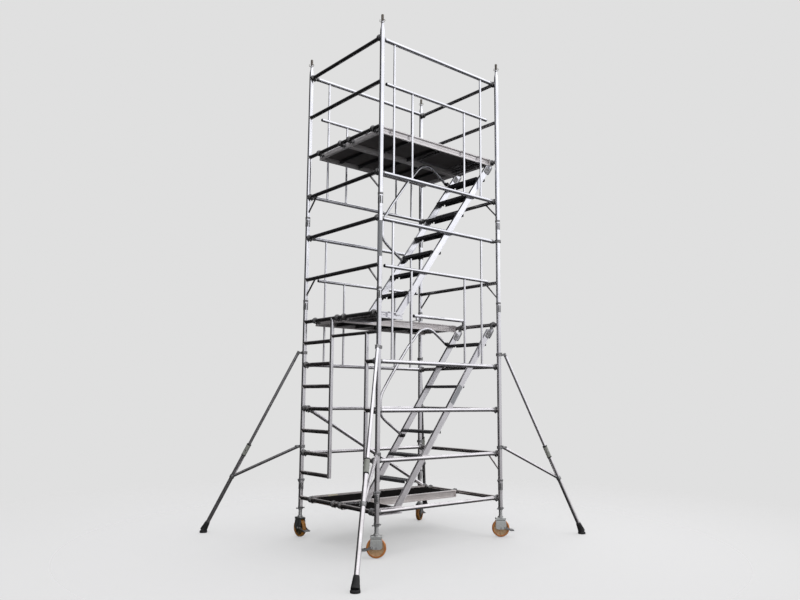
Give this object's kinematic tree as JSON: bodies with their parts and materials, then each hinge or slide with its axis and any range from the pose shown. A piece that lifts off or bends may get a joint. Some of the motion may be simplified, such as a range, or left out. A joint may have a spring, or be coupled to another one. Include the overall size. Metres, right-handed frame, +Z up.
{
  "type": "mobile tower scaffold",
  "caption": "Rolling aluminium scaffold tower: stacked end frames, hooked decks and stairs, guard rails, braked castors and splayed telescopic stabilisers.",
  "frame": {"origin": "on the ground under the middle of the bounding box, which is the middle of the tower's plan", "axes": "+Z up; +X from the ladder end (end A) to the plain end (end B) along the bay; -Y is the front, the stair side"},
  "size_m": [3.6874, 3.252, 5.68],
  "materials": {
    "aluminium": "mill-finished extruded tube, lightly brushed",
    "deck_board": "dark phenolic film-faced plywood in aluminium side beams",
    "zinc_steel": "zinc-plated steel",
    "casting": "plated casting",
    "polyurethane": "amber polyurethane tread on a moulded centre"
  },
  "bodies": {
    "tower": {"base_frame_end_a": "aluminium", "base_frame_end_b": "aluminium", "lower_frame_end_a": "aluminium", "lower_frame_end_b": "aluminium", "middle_frame_end_a": "aluminium", "middle_frame_end_b": "aluminium", "top_frame_end_a": "aluminium", "top_frame_end_b": "aluminium", "guard_rail_top_front": "aluminium", "guard_rail_top_rear": "aluminium", "guard_rail_middle_front": "aluminium", "guard_rail_middle_rear": "aluminium", "brace_front_upper": "aluminium", "brace_front_middle": "aluminium", "brace_front_base": "aluminium", "brace_rear_upper": "aluminium", "brace_rear_middle": "aluminium", "diagonal_brace_rear": "aluminium", "kick_rail_middle": "aluminium", "stair_lower": "aluminium", "stair_upper": "aluminium", "handrail_lower": "aluminium", "handrail_upper": "aluminium", "deck_top_rear": "deck_board", "deck_top_front": "deck_board", "deck_middle_rear": "deck_board", "deck_base_rear": "deck_board"},
    "hatch": {"hatch_lid": "deck_board"},
    "jack_nut_a_front": {"jack_nut_a_front": "casting"},
    "castor_leg_a_front": {"castor_leg_a_front": "zinc_steel"},
    "castor_fork_a_front": {"castor_fork_a_front": "zinc_steel"},
    "castor_wheel_a_front": {"castor_wheel_a_front": "polyurethane"},
    "brake_pedal_a_front": {"brake_pedal_a_front": "casting"},
    "stabiliser_a_front": {"stabiliser_upper_a_front": "aluminium", "stabiliser_arm_a_front": "aluminium"},
    "stabiliser_foot_a_front": {"stabiliser_lower_a_front": "aluminium"},
    "jack_nut_a_rear": {"jack_nut_a_rear": "casting"},
    "castor_leg_a_rear": {"castor_leg_a_rear": "zinc_steel"},
    "castor_fork_a_rear": {"castor_fork_a_rear": "zinc_steel"},
    "castor_wheel_a_rear": {"castor_wheel_a_rear": "polyurethane"},
    "brake_pedal_a_rear": {"brake_pedal_a_rear": "casting"},
    "stabiliser_a_rear": {"stabiliser_upper_a_rear": "aluminium", "stabiliser_arm_a_rear": "aluminium"},
    "stabiliser_foot_a_rear": {"stabiliser_lower_a_rear": "aluminium"},
    "jack_nut_b_front": {"jack_nut_b_front": "casting"},
    "castor_leg_b_front": {"castor_leg_b_front": "zinc_steel"},
    "castor_fork_b_front": {"castor_fork_b_front": "zinc_steel"},
    "castor_wheel_b_front": {"castor_wheel_b_front": "polyurethane"},
    "brake_pedal_b_front": {"brake_pedal_b_front": "casting"},
    "stabiliser_b_front": {"stabiliser_upper_b_front": "aluminium", "stabiliser_arm_b_front": "aluminium"},
    "stabiliser_foot_b_front": {"stabiliser_lower_b_front": "aluminium"},
    "jack_nut_b_rear": {"jack_nut_b_rear": "casting"},
    "castor_leg_b_rear": {"castor_leg_b_rear": "zinc_steel"},
    "castor_fork_b_rear": {"castor_fork_b_rear": "zinc_steel"},
    "castor_wheel_b_rear": {"castor_wheel_b_rear": "polyurethane"},
    "brake_pedal_b_rear": {"brake_pedal_b_rear": "casting"},
    "stabiliser_b_rear": {"stabiliser_upper_b_rear": "aluminium", "stabiliser_arm_b_rear": "aluminium"},
    "stabiliser_foot_b_rear": {"stabiliser_lower_b_rear": "aluminium"}
  },
  "joints": [
    {"name": "hatch_hinge", "type": "hinge", "parent": "tower", "child": "hatch", "pos_m": [0.02, -0.586, 4.438], "axis": [1, 0, 0], "range_deg": [0, 90]},
    {"name": "jack_nut_turn_a_front", "type": "hinge", "parent": "tower", "child": "jack_nut_a_front", "pos_m": [-0.9, -0.7, 0.316], "axis": [0, 0, 1], "range_deg": [0, 8730.01]},
    {"name": "leg_slide_a_front", "type": "slide", "parent": "tower", "child": "castor_leg_a_front", "axis": [0, 0, -1], "range_m": [0, 0.194]},
    {"name": "castor_swivel_a_front", "type": "hinge", "parent": "castor_leg_a_front", "child": "castor_fork_a_front", "pos_m": [-0.9, -0.7, 0.222], "axis": [0, 0, 1], "continuous": true},
    {"name": "wheel_spin_a_front", "type": "hinge", "parent": "castor_fork_a_front", "child": "castor_wheel_a_front", "pos_m": [-0.9, -0.7, 0.1], "axis": [0.6401, 0.7683, 0], "continuous": true},
    {"name": "brake_pedal_press_a_front", "type": "hinge", "parent": "castor_fork_a_front", "child": "brake_pedal_a_front", "pos_m": [-0.93457, -0.6712, 0.105], "axis": [-0.6401, -0.7683, 0], "range_deg": [0, 20]},
    {"name": "stabiliser_swing_a_front", "type": "hinge", "parent": "tower", "child": "stabiliser_a_front", "pos_m": [-0.9, -0.7, 2.07], "axis": [0, 0, 1], "range_deg": [-45, 45]},
    {"name": "stabiliser_extend_a_front", "type": "slide", "parent": "stabiliser_a_front", "child": "stabiliser_foot_a_front", "axis": [-0.3589, -0.3509, -0.8649], "range_m": [0, 0.18]},
    {"name": "jack_nut_turn_a_rear", "type": "hinge", "parent": "tower", "child": "jack_nut_a_rear", "pos_m": [-0.9, 0.7, 0.316], "axis": [0, 0, 1], "range_deg": [0, 8730.01]},
    {"name": "leg_slide_a_rear", "type": "slide", "parent": "tower", "child": "castor_leg_a_rear", "axis": [0, 0, -1], "range_m": [0, 0.194]},
    {"name": "castor_swivel_a_rear", "type": "hinge", "parent": "castor_leg_a_rear", "child": "castor_fork_a_rear", "pos_m": [-0.9, 0.7, 0.222], "axis": [0, 0, 1], "continuous": true},
    {"name": "wheel_spin_a_rear", "type": "hinge", "parent": "castor_fork_a_rear", "child": "castor_wheel_a_rear", "pos_m": [-0.9, 0.7, 0.1], "axis": [-0.9994, -0.0349, 0], "continuous": true},
    {"name": "brake_pedal_press_a_rear", "type": "hinge", "parent": "castor_fork_a_rear", "child": "brake_pedal_a_rear", "pos_m": [-0.89843, 0.65503, 0.105], "axis": [0.9994, 0.0349, 0], "range_deg": [0, 20]},
    {"name": "stabiliser_swing_a_rear", "type": "hinge", "parent": "tower", "child": "stabiliser_a_rear", "pos_m": [-0.9, 0.7, 2.07], "axis": [0, 0, 1], "range_deg": [-45, 45]},
    {"name": "stabiliser_extend_a_rear", "type": "slide", "parent": "stabiliser_a_rear", "child": "stabiliser_foot_a_rear", "axis": [-0.3038, 0.3564, -0.8836], "range_m": [0, 0.18]},
    {"name": "jack_nut_turn_b_front", "type": "hinge", "parent": "tower", "child": "jack_nut_b_front", "pos_m": [0.9, -0.7, 0.316], "axis": [0, 0, 1], "range_deg": [0, 8730.01]},
    {"name": "leg_slide_b_front", "type": "slide", "parent": "tower", "child": "castor_leg_b_front", "axis": [0, 0, -1], "range_m": [0, 0.194]},
    {"name": "castor_swivel_b_front", "type": "hinge", "parent": "castor_leg_b_front", "child": "castor_fork_b_front", "pos_m": [0.9, -0.7, 0.222], "axis": [0, 0, 1], "continuous": true},
    {"name": "wheel_spin_b_front", "type": "hinge", "parent": "castor_fork_b_front", "child": "castor_wheel_b_front", "pos_m": [0.9, -0.7, 0.1], "axis": [0.6401, 0.7683, 0], "continuous": true},
    {"name": "brake_pedal_press_b_front", "type": "hinge", "parent": "castor_fork_b_front", "child": "brake_pedal_b_front", "pos_m": [0.93457, -0.7288, 0.105], "axis": [0.6401, 0.7683, 0], "range_deg": [0, 20]},
    {"name": "stabiliser_swing_b_front", "type": "hinge", "parent": "tower", "child": "stabiliser_b_front", "pos_m": [0.9, -0.7, 2.07], "axis": [0, 0, 1], "range_deg": [-45, 45]},
    {"name": "stabiliser_extend_b_front", "type": "slide", "parent": "stabiliser_b_front", "child": "stabiliser_foot_b_front", "axis": [0.3714, -0.1857, -0.9097], "range_m": [0, 0.18]},
    {"name": "jack_nut_turn_b_rear", "type": "hinge", "parent": "tower", "child": "jack_nut_b_rear", "pos_m": [0.9, 0.7, 0.316], "axis": [0, 0, 1], "range_deg": [0, 8730.01]},
    {"name": "leg_slide_b_rear", "type": "slide", "parent": "tower", "child": "castor_leg_b_rear", "axis": [0, 0, -1], "range_m": [0, 0.194]},
    {"name": "castor_swivel_b_rear", "type": "hinge", "parent": "castor_leg_b_rear", "child": "castor_fork_b_rear", "pos_m": [0.9, 0.7, 0.222], "axis": [0, 0, 1], "continuous": true},
    {"name": "wheel_spin_b_rear", "type": "hinge", "parent": "castor_fork_b_rear", "child": "castor_wheel_b_rear", "pos_m": [0.9, 0.7, 0.1], "axis": [-0.515, 0.8572, 0], "continuous": true},
    {"name": "brake_pedal_press_b_rear", "type": "hinge", "parent": "castor_fork_b_rear", "child": "brake_pedal_b_rear", "pos_m": [0.93857, 0.72318, 0.105], "axis": [-0.515, 0.8572, 0], "range_deg": [0, 20]},
    {"name": "stabiliser_swing_b_rear", "type": "hinge", "parent": "tower", "child": "stabiliser_b_rear", "pos_m": [0.9, 0.7, 2.07], "axis": [0, 0, 1], "range_deg": [-45, 45]},
    {"name": "stabiliser_extend_b_rear", "type": "slide", "parent": "stabiliser_b_rear", "child": "stabiliser_foot_b_rear", "axis": [0.3517, 0.3517, -0.8675], "range_m": [0, 0.18]}
  ],
  "couplings": [
    {"joint": "jack_nut_turn_a_front", "follows": "leg_slide_a_front", "rad_per_m": 785.4},
    {"joint": "jack_nut_turn_a_rear", "follows": "leg_slide_a_rear", "rad_per_m": 785.4},
    {"joint": "jack_nut_turn_b_front", "follows": "leg_slide_b_front", "rad_per_m": 785.4},
    {"joint": "jack_nut_turn_b_rear", "follows": "leg_slide_b_rear", "rad_per_m": 785.4}
  ]
}
